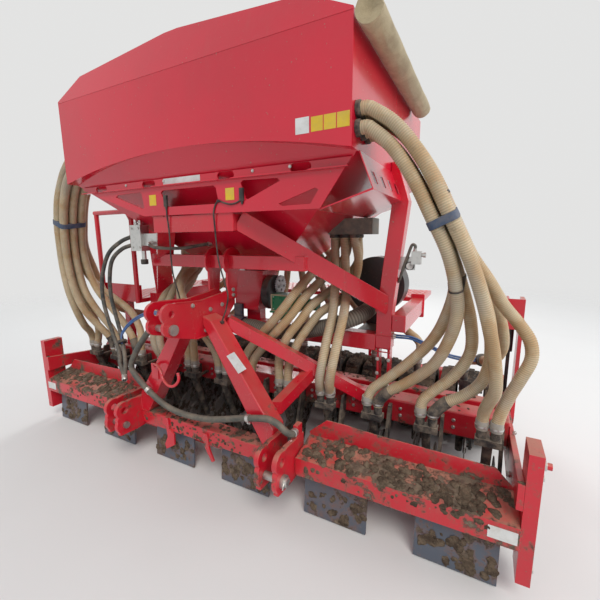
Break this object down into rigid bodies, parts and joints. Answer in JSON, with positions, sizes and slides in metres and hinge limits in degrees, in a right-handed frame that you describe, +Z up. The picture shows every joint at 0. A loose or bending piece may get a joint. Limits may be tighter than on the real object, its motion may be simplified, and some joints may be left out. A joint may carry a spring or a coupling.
{
  "type": "mounted pneumatic seed drill with disc coulters and a ring packer",
  "caption": "Tractor-mounted pneumatic seed drill with a high hopper, ribbed seed hoses, disc coulters and a lugged ring packer.",
  "frame": {"origin": "middle of the bounding box, at ground level", "axes": "+Z up, -Y towards the tractor, +X to the right seen from the tractor's side"},
  "size_m": [3.05, 2.005, 2.1684],
  "materials": {
    "red_paint": "glossy, dusty on top",
    "bare_steel": "zinc plated, worn",
    "board_steel": "blue grey, scoured",
    "black_rubber": "dull, dusty",
    "worn_steel": "soil polished",
    "cast_ring": "caked with soil",
    "black_steel": "satin black",
    "white_plastic": "matt",
    "green_plastic": "gloss",
    "zinc_steel": "plated",
    "cover_fabric": "coated cloth, dusty",
    "seed_hose": "ribbed, dusty",
    "black_hose": "smooth",
    "blue_plastic": "matt, dusty",
    "grey_hose": "ribbed, dusty"
  },
  "bodies": {
    "drill": {"front_beam": "red_paint", "end_plates": "red_paint", "wing_guards": "red_paint", "hitch_brackets": "red_paint", "hitch_pins": "bare_steel", "headstock_legs": "red_paint", "top_link_plates": "red_paint", "top_link_pin": "bare_steel", "head_straps": "red_paint", "cross_tube": "red_paint", "back_stays": "red_paint", "main_tube": "red_paint", "side_arms": "red_paint", "top_beam": "red_paint", "diagonals": "red_paint", "hopper_posts": "red_paint", "lower_cross_tube": "red_paint", "rear_arms": "red_paint", "hopper": "red_paint", "hopper_skirt": "red_paint", "side_tray": "red_paint", "outlet_boxes": "red_paint", "cover_roll": "cover_fabric", "rear_coulter_beam": "red_paint", "front_coulters": "black_rubber", "rear_coulters": "black_rubber", "packer_hangers": "red_paint", "depth_adjusters": "black_steel", "rear_tube": "red_paint", "scrapers": "worn_steel", "walkway_posts": "red_paint", "rear_walkway": "red_paint", "side_step": "red_paint", "handrail": "red_paint", "metering_box": "red_paint", "drive_cover": "black_steel", "drive_wheel": "white_plastic", "control_box": "green_plastic", "air_duct": "grey_hose", "duct_connector": "blue_plastic", "fan_housing": "black_steel", "valve_block": "zinc_steel", "seed_hoses_right": "seed_hose", "seed_hoses_left": "seed_hose", "seed_hoses_centre": "seed_hose", "seed_hoses_rear": "seed_hose", "hydraulic_hoses": "black_hose", "front_conduit": "black_hose"},
    "packer": {"packer_rings": "cast_ring"},
    "front_disc_row": {"front_discs": "worn_steel"},
    "rear_disc_row": {"rear_discs": "worn_steel"},
    "boards": {"board_carrier": "red_paint", "levelling_boards": "board_steel"}
  },
  "joints": [
    {"name": "packer_spin", "type": "hinge", "parent": "drill", "child": "packer", "pos_m": [0, 0.3425, 0.225], "axis": [1, 0, 0], "continuous": true},
    {"name": "front_discs_spin", "type": "hinge", "parent": "drill", "child": "front_disc_row", "pos_m": [0, -0.4175, 0.16], "axis": [1, 0, 0], "continuous": true},
    {"name": "rear_discs_spin", "type": "hinge", "parent": "drill", "child": "rear_disc_row", "pos_m": [0, -0.0575, 0.16], "axis": [1, 0, 0], "continuous": true},
    {"name": "boards_tilt", "type": "hinge", "parent": "drill", "child": "boards", "pos_m": [0, -0.6625, 0.165], "axis": [1, 0, 0], "range_deg": [-20, 0]}
  ]
}
